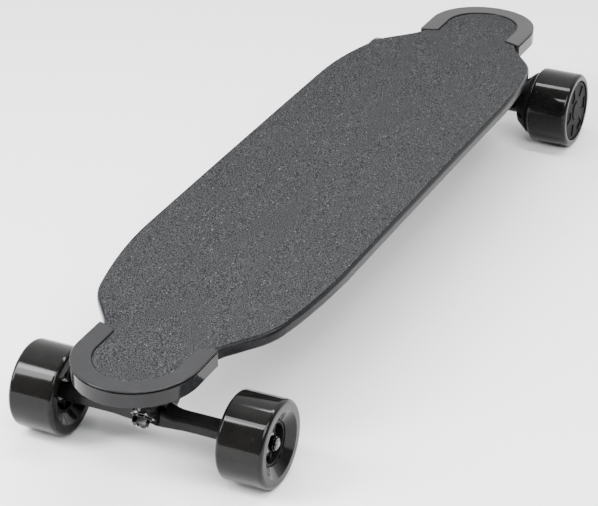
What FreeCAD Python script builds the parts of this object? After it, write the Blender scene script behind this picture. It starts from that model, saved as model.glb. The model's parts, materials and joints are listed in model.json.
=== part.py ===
import FreeCAD, Part

import math
import os

# Electric skateboard. Millimetres, +X to the nose, +Y to the rider's left when
# facing the nose, +Z up. The origin is on the ground, midway between the axles.
Vec = FreeCAD.Vector
ORIGIN = Vec(0, 0, 0)
EX = Vec(1, 0, 0)
EY = Vec(0, 1, 0)
EZ = Vec(0, 0, 1)

# Wheels
WHEEL_R = 45.0
WHEEL_W = 50.0
TRACK = 113.6            # wheel centre plane from the middle of the board
AXLE_X = 419.0           # half the wheelbase
LIP_R = 34.0             # where the flat rim turns into the recess
EDGE_R = 4.5             # rounded edge of the tread
CORE_R = 23.0
CORE_W = 34.0
BORE_GAP = 0.04          # bearing bore to axle

# 608 bearing, and the larger one on the motor's hollow shaft
SMALL_BEARING = (4.0, 11.0, 7.0)
LARGE_BEARING = (7.5, 14.0, 7.0)

# Deck
DECK_T = 13.0
DECK_HALF_W = 117.0
NECK_HALF_W = 57.5
SIDE_R = 550.0           # long curve of each side towards the shoulder
SHOULDER_R = 70.0
NECK_R = 60.0            # hollow curve between the shoulder and the neck
NOSE_X = 445.0           # centre of the round nose
TIP_X = 510.0
DECK_TOP = 122.5         # top of the wood in the middle of the board
CAMBER = 3.0             # drop of the surface from the middle to the tips
CONCAVE = 8.0            # rise of the surface from the middle to the edges
FLAT_END = 0.5           # share of the concave that is left at the tips
GRIP_T = 0.9
GRIP_INSET = 2.4
GRIP_GAP = 1.0           # between the sheet and the bumper

# Bumper that wraps each end
BUMPER_HALF_W = 65.0
BUMPER_BAND_W = 20.5
BUMPER_LIP_T = 2.3
BUMPER_FOOT_T = 2.0
BUMPER_ARM_X = 402.5
GROOVE_DROP = 1.0        # from the top face down to the groove round it
GROOVE_H = 1.9
GROOVE_DEPTH = 2.0

# Truck: a reverse-kingpin pattern, so both axes lie at 45 degrees
PLATE_X = 380.0
PLATE_TOP = 104.0
PLATE_T = 6.0
BOLT_DX = 27.0
BOLT_DY = 20.65
BOLT_HEAD_R = 4.8
RING = Vec(426.3, 0, 66.7)
SLOPE = math.sqrt(0.5)
KING = Vec(SLOPE, 0, -SLOPE)     # from the kingpin's head to its nut
STEER = Vec(SLOPE, 0, SLOPE)     # from the pivot up through the ring
PIVOT = RING - STEER * 40.0
RING_R = 20.0
RING_T = 12.0
KINGPIN_R = 5.0
BUSHING_R = 11.5
UPPER_BUSHING_H = 14.0
LOWER_BUSHING_H = 12.0
WASHER_T = 2.0
BEAM_END = 92.0
ARM_BOTTOM = 38.5
ARM_TOP = 52.0
ARM_HALF_T = 11.0
AXLE_R = SMALL_BEARING[0] - BORE_GAP

# Hub motor
ROTOR_R = 31.0
COVER_R = 36.5
COVER_FACE = 23.6
COVER_POCKET_DEPTH = 1.2
STATOR_R = 26.0
MAGNETS = 14
TEETH = 12

# Battery and controller case under the deck
CASE_HALF_L = 290.0
CASE_HALF_W = 76.0
CASE_FLANGE = 12.0
CASE_DEPTH = 33.0
CASE_WALL = 2.6
CELL_R = 9.2
CELL_L = 65.0
CELL_PITCH = 19.0
CELL_COLUMNS = 15
PORT_X = -215.0
BUTTON_X = -165.0
SIDE_Z = 89.0            # height of the button and the charge port
PORT_R = 6.5
FLAP_PIVOT_Z = 100.6


# ---------------------------------------------------------------- helpers

def rounded_wire(corners):
    """Closed wire in the XY plane. Each corner is (x, y, radius)."""
    count = len(corners)
    points = [Vec(c[0], c[1], 0) for c in corners]
    starts, mids, ends = [], [], []
    for i in range(count):
        to_last = (points[i - 1] - points[i]).normalize()
        to_next = (points[(i + 1) % count] - points[i]).normalize()
        radius = corners[i][2]
        half = to_last.getAngle(to_next) / 2
        reach = radius / math.tan(half)
        bisector = (to_last + to_next).normalize() if radius else to_last
        centre = points[i] + bisector * (radius / math.sin(half))
        starts.append(points[i] + to_last * reach)
        mids.append(centre - bisector * radius)
        ends.append(points[i] + to_next * reach)
    edges = []
    for i in range(count):
        if corners[i][2]:
            edges.append(Part.Arc(starts[i], mids[i], ends[i]).toShape())
        following = starts[(i + 1) % count]
        if ends[i].distanceToPoint(following) > 1e-4:
            edges.append(Part.makeLine(ends[i], following))
    return Part.Wire(Part.__sortEdges__(edges))


def prism(corners, z0, z1):
    face = Part.Face(rounded_wire(corners))
    return face.extrude(EZ * (z1 - z0)).translated(EZ * z0)


def both_sides(corners):
    """Outline that is symmetric about the X axis, from its +Y half."""
    return corners + [(x, -y, r) for x, y, r in reversed(corners)]


def lathe(corners):
    """Solid turned about the Y axis from (radius, y, corner radius)."""
    return Part.Face(rounded_wire(corners)).revolve(ORIGIN, EY, 360)


def ring(inner, outer, y0, y1):
    return lathe([(inner, y0, 0), (outer, y0, 0), (outer, y1, 0), (inner, y1, 0)])


def rod(radius, y0, y1):
    return Part.makeCylinder(radius, y1 - y0, EY * y0, EY)


def on_kingpin(radius, d0, d1):
    return Part.makeCylinder(radius, d1 - d0, RING + KING * d0, KING)


def on_pivot(radius, p0, p1):
    return Part.makeCylinder(radius, p1 - p0, PIVOT + STEER * p0, STEER)


def box(x0, x1, y0, y1, z0, z1):
    return Part.makeBox(x1 - x0, y1 - y0, z1 - z0, Vec(x0, y0, z0))


def side_plate(profile, half_width):
    """Plate with an XZ profile, centred on the XZ plane."""
    points = [Vec(x, -half_width, z) for x, z in profile]
    face = Part.Face(Part.makePolygon(points + points[:1]))
    return face.extrude(EY * (2 * half_width))


def hexagon(across, base, axis, height):
    """Hexagonal prism that is as wide as a nut of that size across flats."""
    radius = across / math.sqrt(3)
    points = []
    for i in range(7):
        angle = math.radians(60 * i)
        points.append(Vec(radius * math.cos(angle), radius * math.sin(angle), 0))
    shape = Part.Face(Part.makePolygon(points)).extrude(EZ * height)
    shape.Placement = FreeCAD.Placement(base, FreeCAD.Rotation(EZ, axis))
    return shape


def fuse(shapes):
    return shapes[0].multiFuse(shapes[1:]).removeSplitter()


def tube(points, radius):
    """Cord along straight runs joined by arcs as large as the runs allow."""
    edges = []
    last = points[0]
    for before, corner, after in zip(points, points[1:], points[2:]):
        back = before - corner
        ahead = after - corner
        reach = 0.45 * min(back.Length, ahead.Length)
        back.normalize()
        ahead.normalize()
        half = back.getAngle(ahead) / 2
        bend = reach * math.tan(half)
        bisector = (back + ahead).normalize()
        middle = corner + bisector * (bend / math.sin(half) - bend)
        start = corner + back * reach
        end = corner + ahead * reach
        edges.append(Part.LineSegment(last, start).toShape())
        edges.append(Part.Arc(start, middle, end).toShape())
        print("cable bend radius", round(bend, 1))
        last = end
    edges.append(Part.LineSegment(last, points[-1]).toShape())
    path = Part.Wire(edges)
    section = Part.Wire(Part.makeCircle(radius, points[0], points[1] - points[0]))
    return path.makePipeShell([section], True, True)


def to_rear(shape):
    return shape.mirror(ORIGIN, EX)


def to_right(shape):
    return shape.mirror(ORIGIN, EY)


# ------------------------------------------------------------- deck surface

def concave_share(x):
    t = min(max((abs(x) - 240) / 150, 0), 1)
    return 1 - (1 - FLAT_END) * t * t * (3 - 2 * t)


def surface_z(x, y):
    bow = CAMBER * (x / TIP_X) ** 2
    dish = CONCAVE * (y / DECK_HALF_W) ** 2 * concave_share(x)
    return DECK_TOP - bow + dish


def deck_surface():
    rows = []
    for y in range(-140, 141, 35):
        rows.append([Vec(x, y, surface_z(x, y)) for x in range(-540, 541, 30)])
    surface = Part.BSplineSurface()
    surface.interpolate(rows)
    return surface.toShape()


SURFACE = deck_surface()


def layer(z0, z1):
    """Everything between two heights that are measured from the top of the deck."""
    return SURFACE.translated(EZ * z0).extrude(EZ * (z1 - z0))


def conform(corners, z0, z1):
    return prism(corners, 60, 160).common(layer(z0, z1)).Solids[0]


def deck_outline(grow=0.0):
    """Outline of the deck, or one that runs parallel to it."""
    half = DECK_HALF_W + grow
    neck = NECK_HALF_W + grow
    nose = [(270, half, SIDE_R), (351 + 0.43 * grow, half - 17.5, SHOULDER_R + grow),
            (404.3 + 0.35 * grow, neck, NECK_R - grow)]
    tip = [(NOSE_X + neck, neck, neck)]
    quarter = nose + tip
    tail = [(-x, y, r) for x, y, r in reversed(quarter)]
    return both_sides(tail + quarter)


def round_nose(half_width, back_x):
    """Top view of a strip of that width with a round front end."""
    return both_sides([(back_x, half_width, 0),
                       (NOSE_X + half_width, half_width, half_width)])


def u_outline(grow=0.0):
    """Top view of the bumper: two arms and a round nose."""
    outer = BUMPER_HALF_W + grow
    inner = BUMPER_HALF_W - BUMPER_BAND_W - grow
    arm = BUMPER_ARM_X - grow
    outside = [(arm, outer, 2), (NOSE_X + outer, outer, outer)]
    inside = [(NOSE_X + inner, inner, inner), (arm + 9, inner, 2)]
    half = outside + [(x, -y, r) for x, y, r in reversed(outside)]
    back = [(x, -y, r) for x, y, r in reversed(inside)] + inside
    return half + back


def perimeter_edges(shape, height):
    """Edges that run round the outline at some distance from the deck surface."""
    found = []
    for edge in shape.Edges:
        middle = edge.valueAt((edge.FirstParameter + edge.LastParameter) / 2)
        ends = [edge.valueAt(edge.FirstParameter), edge.valueAt(edge.LastParameter)]
        level = [abs(p.z - surface_z(p.x, p.y) - height) < 0.4 for p in ends + [middle]]
        if all(level):
            found.append(edge)
    return found


# -------------------------------------------------------------------- board

def bolt_places():
    places = []
    for end in (1, -1):
        for dx in (-BOLT_DX, BOLT_DX):
            for dy in (-BOLT_DY, BOLT_DY):
                places.append(Vec(end * (PLATE_X + dx), dy, 0))
    return places


def deck():
    body = conform(deck_outline(), -DECK_T, 0)
    edges = perimeter_edges(body, 0) + perimeter_edges(body, -DECK_T)
    body = body.makeFillet(3.5, edges)
    for place in bolt_places():
        top = surface_z(place.x, place.y)
        body = body.cut(Part.makeCylinder(2.6, 40, place + EZ * (top - 30)))
        body = body.cut(Part.makeCylinder(BOLT_HEAD_R + 0.3, 10, place + EZ * (top - 3)))
    for place in bumper_screw_places():
        pilot = Part.makeCylinder(2.0, 14, place - EZ * 2)
        body = body.cut(pilot).cut(to_rear(pilot))
    return body.Solids[0]


def grip_tape():
    """Sheet set in from the deck's edge and cut round the bumpers."""
    sheet = conform(deck_outline(-GRIP_INSET), 0, GRIP_T)
    bumpers = prism(u_outline(GRIP_GAP), 60, 160)
    return sheet.cut(bumpers).cut(to_rear(bumpers)).Solids[0]


def bumper():
    body = conform(u_outline(), -DECK_T - BUMPER_FOOT_T, BUMPER_LIP_T)
    body = body.makeFillet(1.0, perimeter_edges(body, BUMPER_LIP_T))
    body = body.cut(conform(deck_outline(0.2), -DECK_T - 0.02, 0.02))
    top = BUMPER_LIP_T - GROOVE_DROP
    band = conform(round_nose(BUMPER_HALF_W + 5, BUMPER_ARM_X - 5), top - GROOVE_H, top)
    kept = prism(round_nose(BUMPER_HALF_W - GROOVE_DEPTH, BUMPER_ARM_X - 10), 60, 160)
    body = body.cut(band.cut(kept))
    for place in bumper_screw_places():
        body = body.cut(Part.makeCylinder(2.1, 12, place - EZ * 4))
    return body


def bumper_screw_places():
    """Points on the foot of the front bumper where its screws pass."""
    reach = BUMPER_HALF_W - 0.5 * BUMPER_BAND_W - 2
    places = []
    for angle in (-65, 65):
        turn = math.radians(angle)
        places.append(Vec(NOSE_X + reach * math.cos(turn), reach * math.sin(turn), 0))
    for side in (1, -1):
        places.append(Vec(BUMPER_ARM_X + 14, side * reach, 0))
    return [p + EZ * (surface_z(p.x, p.y) - DECK_T - BUMPER_FOOT_T) for p in places]


def bumper_screws():
    screws = []
    for place in bumper_screw_places():
        seat = place.z - 0.15
        head = Part.makeSphere(4.2, place + EZ * 2.2)
        head = head.common(box(place.x - 9, place.x + 9, place.y - 9, place.y + 9,
                               seat - 5, seat))
        slot = hexagon(2.5, place - EZ * 3, EZ, 1.8)
        screw = fuse([head, Part.makeCylinder(1.95, 11, place - EZ)]).cut(slot)
        screws += [screw, to_rear(screw)]
    return Part.makeCompound(screws)


def riser_pads():
    half_l = PLATE_X - 342
    pad = prism([(342, 29, 6), (342 + 2 * half_l, 29, 6),
                 (342 + 2 * half_l, -29, 6), (342, -29, 6)], PLATE_TOP, 130)
    pad = pad.cut(layer(-DECK_T, 20))
    for place in bolt_places():
        pad = pad.cut(Part.makeCylinder(2.7, 60, place + EZ * 80))
    pad = max(pad.Solids, key=lambda s: s.Volume)
    return Part.makeCompound([pad, to_rear(pad)])


def truck_bolts():
    """Flat-headed socket bolts, sunk under the grip tape, and their lock nuts."""
    pieces = []
    for place in bolt_places():
        top = surface_z(place.x, place.y) - 0.2
        length = top - (PLATE_TOP - PLATE_T) + 7
        bolt = Part.makeCylinder(2.45, length, place + EZ * (top - length))
        bolt = bolt.fuse(Part.makeCylinder(BOLT_HEAD_R, 2.7, place + EZ * (top - 2.7)))
        pieces.append(bolt.cut(hexagon(3.0, place + EZ * (top - 1.6), EZ, 3)))
        base = place + EZ * (PLATE_TOP - PLATE_T - 4.6)
        nut = hexagon(8.0, base, EZ, 4.6)
        pieces.append(nut.cut(Part.makeCylinder(2.5, 9, base - EZ * 2)))
    return Part.makeCompound(pieces)


# ------------------------------------------------------------------- trucks

SEAT_D = -(RING_T / 2 + UPPER_BUSHING_H + WASHER_T)
NUT_D = RING_T / 2 + LOWER_BUSHING_H + WASHER_T


def baseplate():
    plate = prism([(342.5, 28.5, 7), (417.5, 28.5, 7), (417.5, -28.5, 7),
                   (342.5, -28.5, 7)], PLATE_TOP - PLATE_T, PLATE_TOP)
    seat = on_kingpin(16.5, -60, SEAT_D)
    cheek = side_plate([(378, 100), (413, 100), (409, 84), (398, 74), (386, 84)], 12)
    tower = side_plate([(357, 99), (391, 99), (391, 66), (397, 50), (386, 36),
                        (377, 42), (366, 66)], 8.5)
    foot = side_plate([(352, 99), (394, 99), (392, 90), (364, 84)], 18)
    cup = on_pivot(12.0, -10, 6.5)
    body = fuse([plate, seat, cheek, tower, foot, cup])
    body = body.common(box(300, 500, -60, 60, 0, PLATE_TOP))
    body = body.cut(on_pivot(9.0, -8, 10))
    body = body.cut(on_kingpin(KINGPIN_R + 0.02, -80, 0))
    body = body.cut(on_kingpin(9.2, -80, SEAT_D - 12))
    for place in bolt_places():
        body = body.cut(Part.makeCylinder(2.7, 30, place + EZ * (PLATE_TOP - 25)))
        body = body.cut(Part.makeCylinder(6.5, 20, place + EZ * (PLATE_TOP - PLATE_T - 20)))
    return body


def pivot_cup():
    cup = on_pivot(9.0, -8, 6.5)
    cup = cup.cut(on_pivot(6.6, 0, 10))
    return cup.cut(Part.makeSphere(6.6, PIVOT))


def kingpin():
    head = hexagon(14.0, RING + KING * (SEAT_D - 12), KING * -1, 6)
    shank = on_kingpin(KINGPIN_R, SEAT_D - 12, NUT_D + 11.5)
    return fuse([head, shank])


def kingpin_nut():
    """Flanged lock nut."""
    flange = on_kingpin(9.6, NUT_D, NUT_D + 1.8)
    nut = hexagon(15.0, RING + KING * NUT_D, KING, 8.5)
    crown = Part.makeCone(7.2, 6.2, 2, RING + KING * (NUT_D + 8.5), KING)
    return fuse([flange, nut, crown]).cut(on_kingpin(KINGPIN_R, 0, 80))


def cup_washer(d, sign):
    """Washer with a rim that holds the end of the bushing."""
    low, high = sorted((d, d + sign * WASHER_T))
    plate = on_kingpin(BUSHING_R + 1.0, low, high)
    return plate.cut(on_kingpin(KINGPIN_R, low - 1, high + 1))


def bushing_washers():
    upper = cup_washer(SEAT_D, 1)
    lower = cup_washer(NUT_D, -1)
    return Part.makeCompound([upper, lower])


def bushings():
    gap = 0.15
    upper = on_kingpin(BUSHING_R, SEAT_D + WASHER_T, -RING_T / 2 - gap)
    cone = Part.makeCone(BUSHING_R, BUSHING_R - 2.5, LOWER_BUSHING_H - gap,
                         RING + KING * (RING_T / 2 + gap), KING)
    bore = on_kingpin(KINGPIN_R + 0.1, -60, 60)
    return Part.makeCompound([upper.cut(bore), cone.cut(bore)])


def hanger_arms():
    """Both arms: deep in the middle, and slim from there to the wheels."""
    front_view = both_sides([(ARM_TOP, BEAM_END, 0), (ARM_TOP, 28, 40), (58, 9, 6)])
    front_view = [(ARM_BOTTOM, -BEAM_END, 0), (ARM_BOTTOM, BEAM_END, 0)] + front_view
    tall = prism(front_view, -AXLE_X - 30, -AXLE_X + 30)
    tall.rotate(ORIGIN, EY, -90)
    back = AXLE_X - ARM_HALF_T
    top_view = both_sides([(back, BEAM_END + 5, 0), (back + 2 * ARM_HALF_T, BEAM_END + 5, 0),
                           (back + 2 * ARM_HALF_T, 40, 60), (AXLE_X + 14, 15, 20)])
    arms = tall.common(prism(top_view, 0, 100))
    along = [e for e in arms.Edges if e.BoundBox.YLength > 2
             and abs(e.CenterOfMass.x - AXLE_X) > ARM_HALF_T - 1]
    return arms.makeFillet(4.0, along)


def hanger(axle_hole):
    """Arms, the ring round the bushings and the nose that sits in the pivot cup."""
    middle = fuse([on_kingpin(RING_R, -RING_T / 2, RING_T / 2), on_pivot(10.0, 8, 30)])
    arms = hanger_arms()
    bowl = Part.makeCone(13.5, 20.4, 22, RING + KING * (RING_T / 2), KING)
    seat = on_kingpin(17.5, -40, -RING_T / 2)
    for tool in (bowl, seat, on_pivot(16.0, -30, 8), on_kingpin(7.6, -30, 30)):
        arms = arms.cut(tool)
        middle = middle.cut(tool)
    body = arms.fuse(middle)
    body = body.fuse(on_pivot(6.2, 0, 12)).fuse(Part.makeSphere(6.2, PIVOT))
    for side in (1, -1):
        low, high = sorted((side * (BEAM_END - 4), side * (TRACK - 13.0)))
        body = body.fuse(axle_place(rod(8.5, low, high)))
    return body.cut(axle_hole)


def axle_place(shape):
    return shape.translated(Vec(AXLE_X, 0, WHEEL_R))


AXLE_TIP = TRACK + 22.0


def front_axle():
    bar = rod(AXLE_R, -AXLE_TIP, AXLE_TIP)
    for side in (1, -1):
        tip = rod(AXLE_R + 1, side * AXLE_TIP - 1, side * AXLE_TIP + 1)
        bar = bar.cut(tip.cut(rod(AXLE_R - 0.8, -AXLE_TIP - 3, AXLE_TIP + 3)))
    return axle_place(bar)


def front_hanger():
    return hanger(axle_place(rod(AXLE_R, -200, 200)))


def front_speed_washers():
    washer = ring(AXLE_R, 6.0, TRACK - 13.0, TRACK - 12.2)
    outer = ring(AXLE_R, 6.0, TRACK + 12.2, TRACK + 13.0)
    pair = [washer, outer]
    return Part.makeCompound([axle_place(s) for s in pair + [to_right(s) for s in pair]])


def front_axle_nuts():
    nut = hexagon(13.0, EY * (TRACK + 13.0), EY, 5.2)
    collar = rod(6.2, TRACK + 18.2, TRACK + 20.5)
    nut = fuse([nut, collar]).cut(rod(AXLE_R, 0, 200))
    return Part.makeCompound([axle_place(nut), axle_place(to_right(nut))])


# ------------------------------------------------------------- front wheels

HALF_W = WHEEL_W / 2


def tyre(bore, outer_seat, seat_depth):
    """Poured tyre: rounded tread edges, flat rim and a dished recess."""
    core_half = CORE_W / 2
    return lathe([
        (bore, -core_half, 0), (LIP_R, -HALF_W, 3.0), (WHEEL_R, -HALF_W, EDGE_R),
        (WHEEL_R, HALF_W, EDGE_R), (outer_seat, HALF_W, 1.0),
        (bore if bore == CORE_R else outer_seat, HALF_W - seat_depth, 0),
        (bore, HALF_W - seat_depth, 0),
    ][: 6 if bore == CORE_R else 7])


def wheel_core():
    """Hub with a rim, five spokes and a seat for a bearing at each side."""
    half = CORE_W / 2
    rim = ring(20.0, CORE_R, -half, half)
    seat = SMALL_BEARING[1]
    hub = ring(seat - 3, seat + 2.6, -12.4, 12.4)
    web = ring(seat, 21.0, -3, 3)
    parts = [rim, hub, web]
    for i in range(5):
        spoke = box(seat + 1, 21.0, -13.5, 13.5, -2.2, 2.2)
        spoke.rotate(ORIGIN, EY, 72 * i + 18)
        parts.append(spoke)
    core = fuse(parts)
    core = core.cut(rod(seat, 5, 30)).cut(rod(seat, -30, -5))
    return core


def bearing(size, y0):
    """Two races, two shields and seven balls."""
    bore, outer, width = size
    pitch = (bore + outer) / 2
    wall = (outer - bore) * 0.27
    ball_r = (outer - bore) * 0.28
    groove = Part.makeTorus(pitch, ball_r, EY * (y0 + width / 2), EY)
    races = [ring(bore, bore + wall, y0, y0 + width).cut(groove),
             ring(outer - wall, outer, y0, y0 + width).cut(groove)]
    shield = ring(bore + wall + 0.02, outer - wall - 0.02, y0 + 0.3, y0 + 0.8)
    shields = [shield, shield.translated(EY * (width - 1.1))]
    balls = []
    for i in range(7):
        angle = math.radians(360 * i / 7)
        centre = Vec(pitch * math.cos(angle), y0 + width / 2, pitch * math.sin(angle))
        balls.append(Part.makeSphere(ball_r - 0.03, centre))
    return races + shields + balls


def place_wheel(shape, end, side):
    """Move a shape turned about Y, with its outer face to +Y, to its wheel."""
    if side < 0:
        shape = to_right(shape)
    return shape.translated(Vec(end * AXLE_X, side * TRACK, WHEEL_R))


def front_wheel():
    seat = 5.0
    bearings = bearing(SMALL_BEARING, seat) + bearing(SMALL_BEARING, -12.0)
    spacer = ring(SMALL_BEARING[0], 5.6, -seat, seat)
    return {
        "tyre": tyre(CORE_R, LIP_R, 7.0),
        "core": wheel_core(),
        "bearings": Part.makeCompound(bearings + [spacer]),
    }


# --------------------------------------------------------------- hub motors

def rotor_can():
    """Steel bell that the tyre is poured on."""
    return ring(28.5, ROTOR_R, -22, 19)


def magnets():
    arc = ring(27.0, 28.5, -12, 12)
    step = 360 / MAGNETS
    pieces = []
    for i in range(MAGNETS):
        wedge = box(20, 40, -13, 13, -5.4, 5.4)
        wedge.rotate(ORIGIN, EY, step * i)
        pieces.append(arc.common(wedge).Solids[0])
    return Part.makeCompound(pieces)


def cover_pocket():
    """One of the six pockets in the motor's outer cover."""
    outline = [(17.5, -4.6, 1.5), (31.5, -8.6, 2), (31.5, 8.6, 2), (17.5, 4.6, 1.5)]
    pocket = prism(outline, 0, 12)
    pocket.rotate(ORIGIN, EX, -90)
    return pocket.translated(EY * (COVER_FACE - COVER_POCKET_DEPTH))


def motor_outer_cover():
    boss = COVER_FACE + 1.2
    disc = lathe([(0, 19.2, 0), (COVER_R - 0.3, 19.2, 0), (COVER_R - 0.3, COVER_FACE, 1.0),
                  (13.0, COVER_FACE, 0.8), (11.4, boss, 0.8), (0, boss, 0)])
    spigot = ring(SMALL_BEARING[1], 14.5, 11.2, 19.2)
    rim = ring(25.5, 28.5, 14, 19.2)
    cover = fuse([disc, spigot, rim])
    for i in range(6):
        pocket = cover_pocket()
        pocket.rotate(ORIGIN, EY, 60 * i)
        cover = cover.cut(pocket)
    return cover


def motor_inner_cover():
    """Flanged cover on the inboard side, with shallow pockets round its cone."""
    seat = LARGE_BEARING[1]
    cover = lathe([(seat, -32.4, 0), (20.0, -36.0, 0), (20.0, -44.0, 0), (27.0, -44.0, 2.0),
                   (37.5, -31.0, 2.0), (37.5, -HALF_W - 0.3, 0), (30.7, -HALF_W - 0.3, 0),
                   (30.7, -22.0, 0), (seat + 3.0, -22.0, 0), (seat + 3.0, -25.0, 0),
                   (seat, -25.0, 0)])
    for i in range(8):
        pocket = rod(3.4, -50, -32).translated(EX * 31.5)
        pocket.rotate(ORIGIN, EY, 45 * i + 10)
        cover = cover.cut(pocket)
    return cover


def motor_wheel():
    bearings = bearing(SMALL_BEARING, 11.6) + bearing(LARGE_BEARING, -32.2)
    return {
        "tyre": motor_tyre(),
        "rotor_can": rotor_can(),
        "magnets": magnets(),
        "outer_cover": motor_outer_cover(),
        "inner_cover": motor_inner_cover(),
        "bearings": Part.makeCompound(bearings),
    }


def motor_tyre():
    """Tyre of a motor wheel: a thinner band with a seat for the outer cover."""
    return lathe([
        (ROTOR_R, -HALF_W, 1.5), (WHEEL_R, -HALF_W, EDGE_R), (WHEEL_R, HALF_W, EDGE_R),
        (COVER_R + 0.6, HALF_W, 1.2), (COVER_R, 19.2, 0), (ROTOR_R, 19.2, 0),
    ])


def motor_shaft():
    """Hollow axle that carries the stator and both bearings."""
    root = rod(12.0, -46.0, -38.0)
    seat = rod(LARGE_BEARING[0] - BORE_GAP, -38.0, -14)
    middle = rod(9.0, -14, 10.8)
    tip = rod(AXLE_R, 10.8, 18.8)
    shaft = fuse([root, seat, middle, tip])
    return shaft.cut(rod(4.0, -60, -10))


def stator_core():
    """Laminated stack with a slot between each pair of teeth."""
    stack = ring(9.0, STATOR_R, -11, 11)
    step = 360 / TEETH
    for i in range(TEETH):
        slot = box(13.5, 23.8, -12, 12, -1.9, 1.9)
        slot = slot.fuse(box(22, 30, -12, 12, -0.8, 0.8))
        slot.rotate(ORIGIN, EY, step * i)
        stack = stack.cut(slot)
    return stack


def stator_windings():
    """End turns of the coils, seen as one band of copper over each tooth."""
    step = 360 / TEETH
    coils = []
    for i in range(TEETH):
        for y0 in (-15.0, 11.0):
            turn = box(14.5, 23.2, y0, y0 + 4.0, -2.6, 2.6)
            turn.rotate(ORIGIN, EY, step * (i + 0.5))
            coils.append(turn)
    return coils


def both_motors(pieces):
    placed = []
    for side in (1, -1):
        placed += [place_wheel(piece, -1, side) for piece in pieces]
    return Part.makeCompound(placed)


SHAFT_ROOT = TRACK - 38.0


def rear_hanger():
    """Same casting as in front, cut short, with a clamp boss at each end."""
    body = hanger(axle_place(rod(1.0, 0, 1)))
    body = body.common(box(350, 500, -TRACK + 46, TRACK - 46, 0, 130))
    for side in (1, -1):
        low, high = sorted((side * (SHAFT_ROOT - 24), side * SHAFT_ROOT))
        body = body.fuse(axle_place(rod(15.5, low, high)))
    for side in (1, -1):
        low, high = sorted((side * (SHAFT_ROOT - 8), side * (SHAFT_ROOT + 5)))
        body = body.cut(axle_place(rod(12.0, low, high)))
        low, high = sorted((side * (CABLE_Y - 4.2), side * SHAFT_ROOT))
        body = body.cut(axle_place(rod(4.2, low, high)))
        inlet = Vec(AXLE_X - 30, side * CABLE_Y, WHEEL_R)
        body = body.cut(Part.makeCylinder(5.0, 30, inlet, EX))
    return to_rear(body)


# -------------------------------------------------------------- motor cables

CABLE_R = 3.4
CABLE_Y = 60.0
CABLE_EXIT = Vec(-CASE_HALF_L, 40, 91)


def cable_points(side):
    end = Vec(-AXLE_X + 12, CABLE_Y, WHEEL_R + 1)
    route = [CABLE_EXIT, Vec(-314, 40, 91), Vec(-340, 46, 82), Vec(-362, 54, 64),
             Vec(-382, 59.5, 49), end]
    return [Vec(p.x, side * p.y, p.z) for p in route]


# ------------------------------------------------------------ under-deck case

def case_outline(grow):
    half_l = CASE_HALF_L + grow
    half_w = CASE_HALF_W + grow
    radius = 16.0 + grow
    return [(-half_l, half_w, radius), (half_l, half_w, radius),
            (half_l, -half_w, radius), (-half_l, -half_w, radius)]


CASE_BOTTOM = DECK_TOP - DECK_T - CASE_DEPTH
GASKET_T = 1.0


def under_deck(shape, gap):
    """Trim a shape to the underside of the deck, less some gap."""
    return max(shape.cut(layer(-DECK_T - gap, 40)).Solids, key=lambda s: s.Volume)


def case_screw_places():
    places = []
    for side in (1, -1):
        for x in (-250, -150, -50, 50, 150, 250):
            places.append(Vec(x, side * (CASE_HALF_W + 6.5), 0))
        places.append(Vec(side * (CASE_HALF_L + 6.5), 0, 0))
    return places


def case_shell():
    tray = prism(case_outline(0), CASE_BOTTOM, 125)
    bottom = [e for e in tray.Edges if abs(e.CenterOfMass.z - CASE_BOTTOM) < 0.01]
    tray = tray.makeFillet(5.0, bottom)
    tray = under_deck(tray, GASKET_T)
    flange = prism(case_outline(CASE_FLANGE), 90, 140)
    flange = flange.common(layer(-DECK_T - GASKET_T - 3.0, -DECK_T - GASKET_T))
    body = tray.fuse(flange)
    hollow = prism(case_outline(-CASE_WALL), CASE_BOTTOM + CASE_WALL, 140)
    body = body.cut(hollow)
    body = body.fuse(box(-22, -19.5, -CASE_HALF_W + 2, CASE_HALF_W - 2,
                         CASE_BOTTOM + 1, CASE_BOTTOM + 24))
    for place in case_screw_places():
        body = body.cut(Part.makeCylinder(2.2, 60, place + EZ * 80))
    body = body.cut(Part.makeCylinder(PORT_R, 12, Vec(PORT_X, -CASE_HALF_W - 6, SIDE_Z), EY))
    body = body.cut(Part.makeCylinder(7.3, 12, Vec(BUTTON_X, -CASE_HALF_W - 6, SIDE_Z), EY))
    for side in (1, -1):
        exit_point = Vec(CABLE_EXIT.x - 6, side * CABLE_EXIT.y, CABLE_EXIT.z)
        body = body.cut(Part.makeCylinder(6.0, 14, exit_point, EX))
    window = box(-205, -95, -42, 42, CASE_BOTTOM - 1, CASE_BOTTOM + 10)
    body = body.cut(window)
    for side in (1, -1):
        ear = box(PORT_X + side * 11.5 - 1.5, PORT_X + side * 11.5 + 1.5,
                  -CASE_HALF_W - 5, -CASE_HALF_W + 1, FLAP_PIVOT_Z - 2.5,
                  FLAP_PIVOT_Z + 2.5)
        body = body.fuse(ear)
    pin = Part.makeCylinder(1.1, 26, Vec(PORT_X - 13, -CASE_HALF_W - 2.8, FLAP_PIVOT_Z), EX)
    return body.fuse(pin)


def case_gasket():
    outer = prism(case_outline(CASE_FLANGE), 90, 140)
    inner = prism(case_outline(-1.0), 80, 150)
    band = outer.common(layer(-DECK_T - GASKET_T, -DECK_T)).cut(inner)
    for place in case_screw_places():
        band = band.cut(Part.makeCylinder(2.2, 60, place + EZ * 80))
    return band


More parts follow.
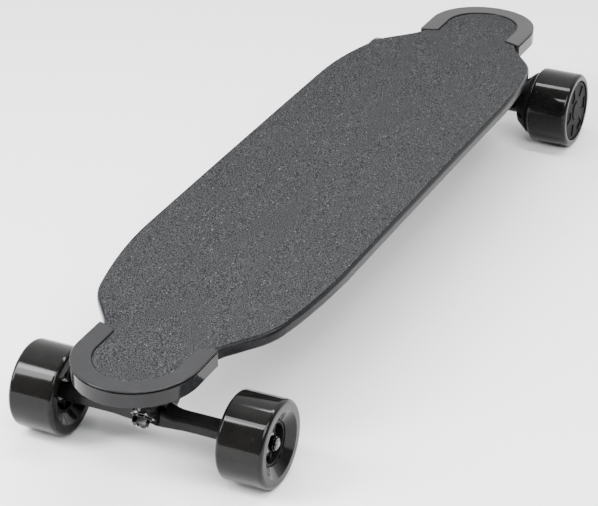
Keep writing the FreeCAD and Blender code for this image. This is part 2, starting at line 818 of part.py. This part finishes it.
def case_screws():
    screws = []
    for place in case_screw_places():
        top = surface_z(place.x, place.y) - DECK_T
        under = place + EZ * (top - GASKET_T - 3.0)
        head = Part.makeCylinder(4.0, 2.4, under - EZ * 2.85)
        head = head.makeFillet(1.0, [head.Edges[0], head.Edges[2]][-1:])
        socket = hexagon(2.5, under - EZ * 3.4, EZ, 2.0)
        screws.append(fuse([head, Part.makeCylinder(2.0, 4.2, under - EZ * 0.6)]).cut(socket))
    return Part.makeCompound(screws)


def cable_glands():
    glands = []
    for side in (1, -1):
        start = Vec(CABLE_EXIT.x, side * CABLE_EXIT.y, CABLE_EXIT.z)
        neck = Part.makeCylinder(6.0, 6, start - EX * 0.5, EX)
        collar = Part.makeCylinder(8.0, 3.2, start - EX * 3.2, EX)
        glands.append(fuse([neck, collar]).cut(Part.makeCylinder(CABLE_R, 4, start - EX * 4, EX)))
    return Part.makeCompound(glands)


FLOOR = CASE_BOTTOM + CASE_WALL


def battery_cells():
    """Thirty cells on their sides, in two rows."""
    cells = []
    z = FLOOR + 1.4 + CELL_R
    for i in range(CELL_COLUMNS):
        x = CASE_HALF_L - CASE_WALL - 12 - CELL_R - i * CELL_PITCH
        for y0 in (1.5, -1.5 - CELL_L):
            cells.append(Part.makeCylinder(CELL_R, CELL_L, Vec(x, y0, z), EY))
    return Part.makeCompound(cells)


def battery_holder():
    """Foam cradle under and over the cells, cut to their shape."""
    x1 = CASE_HALF_L - CASE_WALL - 10
    x0 = x1 - CELL_COLUMNS * CELL_PITCH - 3
    z = FLOOR + 1.4 + CELL_R
    block = box(x0, x1, -68, 68, FLOOR, z - 2.5)
    for cell in battery_cells().Solids:
        block = block.cut(cell)
    return block


def circuit_board(x0, x1, half_w, z):
    return box(x0, x1, -half_w, half_w, z, z + 1.6)


def bms_board():
    """Cell-balancing board with its row of resistors and its switches."""
    z = FLOOR + 2.0 * CELL_R + 2.4
    board = circuit_board(60, 140, 18, z)
    parts = [board]
    for i in range(8):
        parts.append(box(66 + i * 9, 70 + i * 9, -12, -6, z + 1.5, z + 3.2))
        parts.append(box(66 + i * 9, 71 + i * 9, 4, 11, z + 1.5, z + 4.0))
    return fuse(parts)


def controller_board():
    """Dual motor controller: power stage, capacitors and connectors."""
    z = FLOOR + 7.2
    board = circuit_board(-255, -45, 38, z)
    parts = [board]
    for i in range(6):
        parts.append(box(-198 + i * 17, -187 + i * 17, -36, -24, z - 4.4, z + 0.1))
    for i in range(4):
        base = Vec(-180 + i * 24, 18, z + 1.5)
        parts.append(Part.makeCylinder(6.3, 14, base))
    parts.append(box(-250, -232, -30, 30, z + 1.5, z + 9))
    return fuse(parts)


def controller_heatsink():
    """Aluminium plate with low fins that closes the window in the case."""
    plate = box(-205, -95, -42, 42, CASE_BOTTOM + 0.6, FLOOR)
    lip = box(-211, -89, -48, 48, FLOOR, FLOOR + 2.4)
    body = fuse([plate, lip])
    for i in range(9):
        y = -36 + i * 9
        body = body.cut(box(-200, -100, y - 2.2, y + 2.2, CASE_BOTTOM - 1, CASE_BOTTOM + 2.2))
    return body


def power_button():
    """Round push button, with its stem through the bezel."""
    face = -CASE_HALF_W - 2.6
    cap = Part.makeCylinder(5.6, 5.4, Vec(BUTTON_X, face, SIDE_Z), EY)
    cap = cap.makeFillet(0.8, [e for e in cap.Edges if abs(e.CenterOfMass.y - face) < 0.01])
    collar = Part.makeCylinder(6.6, 1.2, Vec(BUTTON_X, face + 4.2, SIDE_Z), EY)
    return fuse([cap, collar])


def button_housing():
    """Threaded bezel and the switch body behind the wall."""
    wall = -CASE_HALF_W
    bezel = Part.makeCylinder(9.5, 1.4, Vec(BUTTON_X, wall - 1.4, SIDE_Z), EY)
    barrel = Part.makeCylinder(7.3, 12, Vec(BUTTON_X, wall - 0.5, SIDE_Z), EY)
    body = fuse([bezel, barrel])
    body = body.cut(Part.makeCylinder(5.9, 6, Vec(BUTTON_X, wall - 3, SIDE_Z), EY))
    return body.cut(Part.makeCylinder(6.9, 5.0, Vec(BUTTON_X, wall + 1.0, SIDE_Z), EY))


def charge_socket():
    """Round three-pin charging socket."""
    wall = -CASE_HALF_W
    rim = Part.makeCylinder(8.5, 1.4, Vec(PORT_X, wall - 1.4, SIDE_Z), EY)
    barrel = Part.makeCylinder(PORT_R, 13, Vec(PORT_X, wall - 0.5, SIDE_Z), EY)
    body = fuse([rim, barrel])
    body = body.cut(Part.makeCylinder(5.0, 10, Vec(PORT_X, wall - 2, SIDE_Z), EY))
    for i in range(3):
        angle = math.radians(90 + 120 * i)
        centre = Vec(PORT_X + 2.4 * math.cos(angle), wall + 4.0,
                     SIDE_Z + 2.4 * math.sin(angle))
        body = body.fuse(Part.makeCylinder(0.7, 4.5, centre, EY))
    return body


def charge_flap():
    """Cover that hangs from a pin over the charging socket."""
    back = -CASE_HALF_W - 1.8
    door = box(PORT_X - 9.3, PORT_X + 9.3, back - 2.0, back, SIDE_Z - 9.5, FLAP_PIVOT_Z)
    door = door.makeFillet(3.0, [e for e in door.Edges
                                 if abs(e.CenterOfMass.z - (SIDE_Z - 9.5)) < 0.01
                                 and e.Length < 3])
    pivot = Vec(PORT_X - 9.3, -CASE_HALF_W - 2.8, FLAP_PIVOT_Z)
    knuckle = Part.makeCylinder(2.3, 18.6, pivot, EX)
    body = fuse([door, knuckle])
    return body.cut(Part.makeCylinder(1.15, 30, pivot - EX * 5, EX))


# ------------------------------------------------------------------ assembly

def truck_parts():
    return {
        "baseplate": baseplate(),
        "pivot_cup": pivot_cup(),
        "kingpin": kingpin(),
        "kingpin_nut": kingpin_nut(),
        "bushing_washers": bushing_washers(),
        "bushings": bushings(),
    }


def collect():
    nodes = {
        "deck": deck(),
        "grip_tape": grip_tape(),
        "bumper_screws": bumper_screws(),
        "riser_pads": riser_pads(),
        "truck_bolts": truck_bolts(),
        "front_hanger": front_hanger(),
        "front_axle": front_axle(),
        "front_speed_washers": front_speed_washers(),
        "front_axle_nuts": front_axle_nuts(),
        "rear_hanger": rear_hanger(),
        "motor_shafts": both_motors([motor_shaft()]),
        "stator_cores": both_motors([stator_core()]),
        "stator_windings": both_motors(stator_windings()),
        "case_shell": case_shell(),
        "case_gasket": case_gasket(),
        "case_screws": case_screws(),
        "cable_glands": cable_glands(),
        "battery_cells": battery_cells(),
        "battery_holder": battery_holder(),
        "bms_board": bms_board(),
        "controller_board": controller_board(),
        "controller_heatsink": controller_heatsink(),
        "power_button": power_button(),
        "button_housing": button_housing(),
        "charge_socket": charge_socket(),
        "charge_flap": charge_flap(),
    }
    nose = bumper()
    nodes["nose_bumper"] = nose
    nodes["tail_bumper"] = to_rear(nose)
    for name, shape in truck_parts().items():
        nodes["front_" + name] = shape
        nodes["rear_" + name] = to_rear(shape)
    front = front_wheel()
    motor = motor_wheel()
    for side, label in ((1, "left"), (-1, "right")):
        for name, shape in front.items():
            nodes["front_" + label + "_" + name] = place_wheel(shape, 1, side)
        for name, shape in motor.items():
            nodes["rear_" + label + "_" + name] = place_wheel(shape, -1, side)
        nodes["motor_cable_" + label] = tube(cable_points(side), CABLE_R)
    return nodes


def main():
    os.makedirs("parts", exist_ok=True)
    for name, shape in collect().items():
        print(name, len(shape.Solids), shape.isValid(), round(shape.Volume / 1000, 2))
        shape.exportStep("parts/" + name + ".step")


main()
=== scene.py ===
import json
import math

import bmesh
import bpy
from mathutils import Matrix, Vector


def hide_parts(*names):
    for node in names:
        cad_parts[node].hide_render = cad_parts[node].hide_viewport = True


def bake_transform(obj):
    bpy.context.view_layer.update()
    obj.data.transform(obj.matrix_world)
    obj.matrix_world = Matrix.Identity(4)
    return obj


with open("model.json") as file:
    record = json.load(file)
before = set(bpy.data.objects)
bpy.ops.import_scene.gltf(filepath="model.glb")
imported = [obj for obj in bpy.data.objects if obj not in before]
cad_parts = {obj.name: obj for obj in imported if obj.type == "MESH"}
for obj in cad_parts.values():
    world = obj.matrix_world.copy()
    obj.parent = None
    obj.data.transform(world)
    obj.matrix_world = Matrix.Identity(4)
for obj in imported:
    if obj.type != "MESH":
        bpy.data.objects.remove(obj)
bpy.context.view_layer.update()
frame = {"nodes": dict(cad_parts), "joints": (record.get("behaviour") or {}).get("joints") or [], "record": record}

NODES = frame["nodes"]

# Width of the photograph in pixels, and the camera that took it, in metres
IMAGE_W = 598
CAMERA_AT = Vector((2.1631, 0.9807, 1.2888))
CAMERA_TARGET = Vector((0.162, 0.0211, 0.08))
CAMERA_ROLL = -0.0039
FOCAL_PX = 2411.5
CENTRE_SHIFT_PX = (12.6, 18.1)

# Direction from the board to the white side of the studio, and how bright the
# studio is behind the camera and on that side
CYCLORAMA = (-0.88, -0.39, 0.26)
ROOM_GLOW = 0.3
CYCLORAMA_GLOW = 2.0
FLOOR_HALF = 12.0

# The strip lamps over the board
STRIP_LENGTH = 1.6
STRIP_HEIGHT = 1.7


# ------------------------------------------------------------------ camera

def make_camera():
    """Camera of the photograph, cropped as the photograph is."""
    data = bpy.data.cameras.new("camera")
    data.sensor_width = 36.0
    data.lens = FOCAL_PX / IMAGE_W * data.sensor_width
    data.shift_x = CENTRE_SHIFT_PX[0] / IMAGE_W
    data.shift_y = CENTRE_SHIFT_PX[1] / IMAGE_W
    data.clip_end = 50.0
    camera = bpy.data.objects.new("camera", data)
    bpy.context.scene.collection.objects.link(camera)
    aim = (CAMERA_TARGET - CAMERA_AT).to_track_quat("-Z", "Y").to_matrix().to_4x4()
    roll = Matrix.Rotation(CAMERA_ROLL, 4, "Z")
    camera.matrix_world = Matrix.Translation(CAMERA_AT) @ aim @ roll
    bpy.context.scene.camera = camera


# --------------------------------------------------------------- materials

# Radius that sharp corners are shaded with
EDGE_R = 0.0006


class Surface:
    """A Principled material with short calls for the nodes that feed it."""

    def __init__(self, name, color, roughness, metallic=0.0, **sockets):
        self.material = bpy.data.materials.new(name)
        self.material.use_nodes = True
        self.tree = self.material.node_tree
        self.shader = self.tree.nodes["Principled BSDF"]
        self.coords = self.tree.nodes.new("ShaderNodeTexCoord")
        self.set("Base Color", (*color, 1.0))
        self.set("Roughness", roughness)
        self.set("Metallic", metallic)
        self.soften_edges()
        for socket, value in sockets.items():
            self.set(socket.replace("_", " "), value)

    def soften_edges(self):
        """Shade sharp corners as if broken by a small radius."""
        node = self.tree.nodes.new("ShaderNodeBevel")
        node.samples = 6
        node.inputs["Radius"].default_value = EDGE_R
        self.link(node.outputs["Normal"], self.shader.inputs["Normal"])

    def set(self, socket, value):
        self.shader.inputs[socket].default_value = value

    def link(self, source, target):
        self.tree.links.new(source, target)

    def noise(self, scale, detail=3.0, roughness=0.5, stretch=None):
        """Fractal noise; scale is in cycles per metre."""
        node = self.tree.nodes.new("ShaderNodeTexNoise")
        node.inputs["Scale"].default_value = scale
        node.inputs["Detail"].default_value = detail
        node.inputs["Roughness"].default_value = roughness
        self.link(self.place(stretch), node.inputs["Vector"])
        return node.outputs["Fac"]

    def cells(self, scale, output="Distance", stretch=None):
        """Voronoi cells; scale is in cells per metre."""
        node = self.tree.nodes.new("ShaderNodeTexVoronoi")
        node.inputs["Scale"].default_value = scale
        self.link(self.place(stretch), node.inputs["Vector"])
        return node.outputs[output]

    def place(self, stretch):
        """Object coordinates, scaled by stretch along each axis."""
        if stretch is None:
            return self.coords.outputs["Object"]
        node = self.tree.nodes.new("ShaderNodeMapping")
        node.inputs["Scale"].default_value = stretch
        self.link(self.coords.outputs["Object"], node.inputs["Vector"])
        return node.outputs["Vector"]

    def ramp(self, source, stops):
        """Colour ramp; each stop is (position, colour or grey level)."""
        node = self.tree.nodes.new("ShaderNodeValToRGB")
        elements = node.color_ramp.elements
        while len(elements) < len(stops):
            elements.new(0.5)
        for element, (position, value) in zip(elements, stops):
            element.position = position
            color = value if isinstance(value, tuple) else (value, value, value)
            element.color = (*color, 1.0)
        self.link(source, node.inputs["Fac"])
        return node.outputs["Color"]

    def mix(self, factor, a, b):
        """Blend of two colours, each a tuple or a node's output."""
        node = self.tree.nodes.new("ShaderNodeMix")
        node.data_type = "RGBA"
        self.link(factor, node.inputs[0])
        for socket, value in ((node.inputs[6], a), (node.inputs[7], b)):
            if isinstance(value, tuple):
                socket.default_value = (*value, 1.0)
            else:
                self.link(value, socket)
        return node.outputs[2]

    def color(self, source):
        self.link(source, self.shader.inputs["Base Color"])
        return self

    def rough(self, source, low, high):
        """Roughness that follows a pattern between two values."""
        self.link(self.ramp(source, [(0.3, low), (0.7, high)]),
                  self.shader.inputs["Roughness"])
        return self

    def bump(self, source, depth, strength=1.0):
        """Bump of a pattern; depth is in metres."""
        node = self.tree.nodes.new("ShaderNodeBump")
        node.inputs["Distance"].default_value = depth
        node.inputs["Strength"].default_value = strength
        self.link(source, node.inputs["Height"])
        old = self.shader.inputs["Normal"].links
        if old:
            self.link(old[0].from_socket, node.inputs["Normal"])
        self.link(node.outputs["Normal"], self.shader.inputs["Normal"])
        return self


def grip_surface():
    """Coarse grit bonded to a dark sheet: bright specks that are lighter grains brightened by painted glints, and
    dark pits that are painted shade in the hollows.
    """
    s = Surface("grip", (0.03, 0.0305, 0.032), 0.85, Specular_IOR_Level=0.03)
    grains = s.noise(860.0, 2.0, 0.75)
    broad = s.noise(14.0, 3.0, 0.55)
    # Colour follows the grit relief: darkest in the hollows between grains, as painted shade
    fine = s.ramp(grains, [(0.38, (0.004, 0.0041, 0.0044)), (0.5, (0.0176, 0.018, 0.019)),
                           (0.61, (0.068, 0.0694, 0.0725))])
    # Bright specks: lighter grains of grit, brightened further as painted glints
    specks = s.ramp(s.cells(1050.0, "Color"), [(0.92, 0.0), (0.975, 1.0)])
    bright = s.mix(specks, fine, (0.26, 0.264, 0.272))
    worn = s.ramp(broad, [(0.3, 0.0), (0.75, 0.2)])
    s.color(s.mix(worn, bright, (0.033, 0.0338, 0.036)))
    s.bump(grains, 0.0009, 0.9)
    return s


def deck_surface():
    """Black lacquer over wood: a trace of grain shows in the gloss."""
    s = Surface("deck_wood", (0.007, 0.007, 0.008), 0.26, Specular_IOR_Level=0.1)
    grain = s.noise(60.0, 5.0, 0.6, (0.06, 1.0, 1.0))
    s.color(s.ramp(grain, [(0.35, (0.006, 0.006, 0.007)), (0.7, (0.012, 0.012, 0.013))]))
    s.rough(grain, 0.2, 0.34)
    s.bump(grain, 0.00012, 0.6)
    s.bump(s.noise(900.0, 2.0), 0.00004, 0.4)
    return s


def moulded(name, color, low, high, grain=0.00003, scale=1800.0, shine=0.17):
    """Moulded plastic: a fine spark-eroded texture and slight handling marks.

    Roughness runs from low to high, and grain is the depth of the texture.
    """
    s = Surface(name, color, low, Specular_IOR_Level=shine)
    fine = s.noise(scale, 2.0, 0.6)
    marks = s.noise(45.0, 4.0, 0.6)
    light = tuple(c * 1.18 for c in color)
    dark = tuple(c * 0.88 for c in color)
    s.color(s.ramp(marks, [(0.3, dark), (0.72, light)]))
    s.rough(marks, low, high)
    s.bump(fine, grain, 0.7)
    return s


def urethane_surface():
    """Cast urethane: deep gloss with a faint orange peel, mould bloom and dust."""
    s = Surface("wheel_urethane", (0.006, 0.006, 0.006), 0.06, Specular_IOR_Level=0.17)
    bloom = s.noise(30.0, 4.0, 0.6)
    dust = s.ramp(s.cells(420.0, "Color"), [(0.965, 0.0), (0.99, 1.0)])
    body = s.ramp(bloom, [(0.3, (0.003, 0.003, 0.003)), (0.75, (0.008, 0.0075, 0.007))])
    s.color(s.mix(dust, body, (0.03, 0.03, 0.03)))
    s.rough(bloom, 0.05, 0.11)
    s.bump(s.noise(160.0, 2.0), 0.00004, 0.3)
    return s


def rubber(name, level, roughness=0.62):
    """Dark rubber of a grey level, dulled by a fine matt texture."""
    s = Surface(name, (level, level, level * 1.04), roughness)
    fine = s.noise(1500.0, 2.0, 0.65)
    s.color(s.ramp(s.noise(80.0, 3.0), [(0.3, (level * 0.8,) * 3),
                                        (0.7, (level * 1.3,) * 3)]))
    s.rough(fine, roughness - 0.08, roughness + 0.1)
    s.bump(fine, 0.00005, 0.6)
    return s


def coated_metal(name, color, low, high, shine=0.12):
    """Powder coat on a casting: soft orange peel over a slightly uneven body.

    Roughness runs from low to high.
    """
    s = Surface(name, color, low, Specular_IOR_Level=shine)
    peel = s.noise(700.0, 2.0, 0.5)
    body = s.noise(55.0, 3.0, 0.5)
    s.color(s.ramp(body, [(0.3, tuple(c * 0.85 for c in color)),
                          (0.7, tuple(c * 1.3 for c in color))]))
    s.rough(peel, low, high)
    s.bump(body, 0.0001, 0.35)
    s.bump(peel, 0.000012, 0.4)
    return s


def bare_metal(name, color, low, high, lines=(1.0, 1.0, 1.0), depth=0.00001):
    """Bare or plated metal with machining lines along one direction."""
    s = Surface(name, color, low, metallic=1.0)
    grain = s.noise(900.0, 3.0, 0.6, lines)
    s.rough(grain, low, high)
    s.color(s.ramp(s.noise(120.0, 3.0), [(0.3, tuple(c * 0.85 for c in color)),
                                         (0.7, color)]))
    s.bump(grain, depth, 0.4)
    return s


def laminated_surface():
    """Stack of thin steel sheets, seen as fine lines across the axle."""
    s = bare_metal("lamination_steel", (0.22, 0.22, 0.23), 0.35, 0.5)
    wave = s.tree.nodes.new("ShaderNodeTexWave")
    wave.bands_direction = "Y"
    wave.inputs["Scale"].default_value = 320.0
    s.link(s.coords.outputs["Object"], wave.inputs["Vector"])
    s.bump(wave.outputs["Fac"], 0.00008, 0.5)
    return s


def copper_surface():
    """Enamelled wire wound side by side, with painted shade in the grooves between the turns."""
    s = Surface("copper", (0.5, 0.17, 0.06), 0.3, metallic=0.85)
    wave = s.tree.nodes.new("ShaderNodeTexWave")
    wave.bands_direction = "DIAGONAL"
    wave.inputs["Scale"].default_value = 190.0
    s.link(s.coords.outputs["Object"], wave.inputs["Vector"])
    # Colour follows the winding relief: darker in the grooves, as painted shade
    s.color(s.ramp(wave.outputs["Fac"], [(0.1, (0.2, 0.06, 0.02)), (0.6, (0.62, 0.24, 0.09))]))
    s.bump(wave.outputs["Fac"], 0.0004, 0.8)
    return s


def board_surface():
    """Solder mask with the faint relief of the tracks below it."""
    s = Surface("circuit_board", (0.015, 0.11, 0.05), 0.3, Coat_Weight=0.3)
    tracks = s.cells(160.0, "Distance", (1.0, 2.2, 1.0))
    s.color(s.ramp(tracks, [(0.2, (0.012, 0.085, 0.04)), (0.45, (0.022, 0.15, 0.07))]))
    s.bump(tracks, 0.00008, 0.6)
    return s


def wrap_surface():
    """Shrink film over the cells, with painted shade in the hollows of its creases."""
    s = Surface("cell_wrap", (0.03, 0.13, 0.32), 0.25, Coat_Weight=0.4)
    creases = s.noise(90.0, 4.0, 0.6, (1.0, 0.25, 1.0))
    # Colour follows the crease relief: darker in the hollows, as painted shade
    s.color(s.ramp(creases, [(0.3, (0.024, 0.1, 0.26)), (0.7, (0.04, 0.17, 0.4))]))
    s.bump(creases, 0.0003, 0.5)
    return s


def make_materials():
    """All the materials, by the record's slot names."""
    surfaces = {
        "grip": grip_surface(),
        "deck_wood": deck_surface(),
        "bumper": moulded("bumper", (0.0132, 0.0134, 0.0143), 0.06, 0.1, 0.000015),
        "case_plastic": moulded("case_plastic", (0.012, 0.012, 0.013), 0.42, 0.56,
                                0.00012, 900.0),
        "holder_plastic": moulded("holder_plastic", (0.02, 0.02, 0.02), 0.6, 0.75),
        "button_plastic": moulded("button_plastic", (0.05, 0.05, 0.053), 0.3, 0.42),
        "wheel_core": moulded("wheel_core", (0.006, 0.006, 0.0065), 0.3, 0.42, shine=0.06),
        "wheel_urethane": urethane_surface(),
        "soft_rubber": rubber("soft_rubber", 0.012),
        "cable_jacket": rubber("cable_jacket", 0.010, 0.5),
        "bushing_urethane": rubber("bushing_urethane", 0.016, 0.3),
        "truck_black": coated_metal("truck_black", (0.008, 0.008, 0.0085), 0.18, 0.26),
        "motor_cover": coated_metal("motor_cover", (0.005, 0.005, 0.0053), 0.36, 0.46,
                                    shine=0.02),
        "black_aluminium": coated_metal("black_aluminium", (0.014, 0.014, 0.015), 0.4, 0.5),
        "black_steel": bare_metal("black_steel", (0.035, 0.035, 0.036), 0.3, 0.45),
        "bright_steel": bare_metal("bright_steel", (0.2, 0.2, 0.206), 0.16, 0.3),
        "chrome_nut": bare_metal("chrome_nut", (0.04, 0.04, 0.042), 0.08, 0.18),
        "magnet_nickel": bare_metal("magnet_nickel", (0.6, 0.58, 0.54), 0.12, 0.25),
        "lamination_steel": laminated_surface(),
        "copper": copper_surface(),
        "circuit_board": board_surface(),
        "cell_wrap": wrap_surface(),
    }
    return {slot: s.material for slot, s in surfaces.items()}


def dress(materials):
    """Give every node the material of its slot in the record."""
    for part in frame["record"]["subparts"]:
        data = NODES[part["node"]].data
        data.materials.clear()
        data.materials.append(materials[part["material_slot"]])


# ---------------------------------------------------------------- pieces

# From the case's gland to the hanger, on the left side
CABLE_ROUTE = [(-0.290, 0.040, 0.091), (-0.314, 0.040, 0.091), (-0.340, 0.046, 0.082),
               (-0.362, 0.054, 0.064), (-0.382, 0.0595, 0.049), (-0.407, 0.060, 0.046)]
CABLE_R = 0.0034


def motor_cable(side, name, material):
    """Cable from the case to the motor shaft, bent between the two bodies."""
    curve = bpy.data.curves.new(name, "CURVE")
    curve.dimensions = "3D"
    curve.bevel_depth = CABLE_R
    curve.bevel_resolution = 5
    curve.resolution_u = 16
    spline = curve.splines.new("NURBS")
    spline.points.add(len(CABLE_ROUTE) - 1)
    for point, (x, y, z) in zip(spline.points, CABLE_ROUTE):
        point.co = (x, side * y, z, 1.0)
    spline.order_u = 3
    spline.use_endpoint_u = True
    guide = bpy.data.objects.new(name + "_guide", curve)
    bpy.context.scene.collection.objects.link(guide)
    bpy.context.view_layer.update()
    mesh = bpy.data.meshes.new_from_object(guide)
    bpy.data.objects.remove(guide)
    mesh.materials.clear()
    mesh.materials.append(material)
    mesh.shade_smooth()
    cable = bpy.data.objects.new(name, mesh)
    bpy.context.scene.collection.objects.link(cable)
    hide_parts("motor_cable_" + ("left" if side > 0 else "right"))
    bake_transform(cable)


BUSHING_RINGS = 8


def soft_bushing(truck, side, name, material):
    """One bushing of a truck: side is 1 below the hanger's ring and -1 above it.

    It is cut from the truck's bushings at the ring's centre and made a piece of its own, and the original is
    hidden.
    """
    joint = next(j for j in frame["joints"] if j["name"] == truck + "_steer")
    centre = Vector(joint["pos_m"])
    kingpin = Vector((joint["axis"][0], 0, -joint["axis"][2])) * side

    def along(vertex):
        return (vertex.co - centre).dot(kingpin)

    bm = bmesh.new()
    bm.from_mesh(NODES[truck + "_bushings"].data)
    other = [v for v in bm.verts if along(v) < 0]
    bmesh.ops.delete(bm, geom=other, context="VERTS")
    bmesh.ops.remove_doubles(bm, verts=bm.verts, dist=1e-6)
    near = min(along(v) for v in bm.verts)
    far = max(along(v) for v in bm.verts)
    # Rings along the side, at even steps from end to end
    for step in range(1, BUSHING_RINGS):
        level = near + (far - near) * step / BUSHING_RINGS
        whole = bm.verts[:] + bm.edges[:] + bm.faces[:]
        bmesh.ops.bisect_plane(bm, geom=whole, plane_co=centre + kingpin * level,
                               plane_no=kingpin)
    mesh = bpy.data.meshes.new(name)
    bm.to_mesh(mesh)
    bm.free()
    mesh.shade_smooth()
    mesh.set_sharp_from_angle(angle=math.radians(35))
    mesh.materials.append(material)
    bushing = bpy.data.objects.new(name, mesh)
    bpy.context.scene.collection.objects.link(bushing)
    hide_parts(truck + "_bushings")
    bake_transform(bushing)


# ----------------------------------------------------------------- studio

def studio_floor():
    """Plain white floor, wide enough to fill every view."""
    mesh = bpy.data.meshes.new("floor")
    signs = [(-1, -1), (1, -1), (1, 1), (-1, 1)]
    corners = [(a * FLOOR_HALF, b * FLOOR_HALF, 0) for a, b in signs]
    mesh.from_pydata(corners, [], [(0, 1, 2, 3)])
    s = Surface("floor", (0.9, 0.9, 0.9), 0.9)
    s.bump(s.noise(4.0, 2.0), 0.0005, 0.1)
    mesh.materials.append(s.material)
    floor = bpy.data.objects.new("floor", mesh)
    bpy.context.scene.collection.objects.link(floor)


def area_light(name, size, power):
    """Rectangular lamp at the origin that shines down."""
    data = bpy.data.lights.new(name, "AREA")
    data.shape = "RECTANGLE"
    data.size, data.size_y = size
    data.energy = power
    lamp = bpy.data.objects.new(name, data)
    bpy.context.scene.collection.objects.link(lamp)
    return lamp


def softbox(name, place, target, size, power):
    """Rectangular lamp turned towards a point of the board."""
    lamp = area_light(name, size, power)
    aim = (Vector(target) - Vector(place)).to_track_quat("-Z", "Y")
    lamp.matrix_world = Matrix.Translation(place) @ aim.to_matrix().to_4x4()


def strip_light(name, x, y, width, power):
    """Long lamp over the board, lying along the axles."""
    lamp = area_light(name, (width, STRIP_LENGTH), power)
    lamp.location = (x, y, STRIP_HEIGHT)


def sky():
    """White cyclorama on one side of the board, a dim room on the other."""
    world = bpy.data.worlds.new("studio")
    world.use_nodes = True
    tree = world.node_tree
    background = tree.nodes["Background"]
    coords = tree.nodes.new("ShaderNodeTexCoord")
    toward = tree.nodes.new("ShaderNodeVectorMath")
    toward.operation = "DOT_PRODUCT"
    toward.inputs[1].default_value = CYCLORAMA
    ramp = tree.nodes.new("ShaderNodeMapRange")
    ramp.inputs["From Min"].default_value = 0.05
    ramp.inputs["From Max"].default_value = 0.5
    ramp.inputs["To Min"].default_value = ROOM_GLOW
    ramp.inputs["To Max"].default_value = CYCLORAMA_GLOW
    tree.links.new(coords.outputs["Generated"], toward.inputs[0])
    tree.links.new(toward.outputs["Value"], ramp.inputs["Value"])
    tree.links.new(ramp.outputs["Result"], background.inputs["Strength"])
    background.inputs["Color"].default_value = (1.0, 1.0, 1.0, 1.0)
    bpy.context.scene.world = world


def studio():
    """Floor, room and lamps; the wheels reflect both strips and the nose box."""
    studio_floor()
    sky()
    strip_light("rear_strip", x=-0.3, y=0.21, width=0.26, power=33)
    strip_light("front_strip", x=1.14, y=-0.5, width=0.34, power=36)
    softbox("key", place=(1.35, 1.3, 1.9), target=(0.3, 0.0, 0.0),
            size=(1.6, 1.2), power=80)
    softbox("nose_box", place=(1.75, -1.75, 1.8), target=(0.42, -0.13, 0.05),
            size=(1.0, 2.0), power=150)


# ------------------------------------------------------------------ build

make_camera()
finishes = make_materials()
dress(finishes)
motor_cable(1, "cable_left", finishes["cable_jacket"])
motor_cable(-1, "cable_right", finishes["cable_jacket"])
for truck in ("front", "rear"):
    for side, end in ((-1, "upper"), (1, "lower")):
        soft_bushing(truck, side, truck + "_bushing_" + end, finishes["bushing_urethane"])
studio()
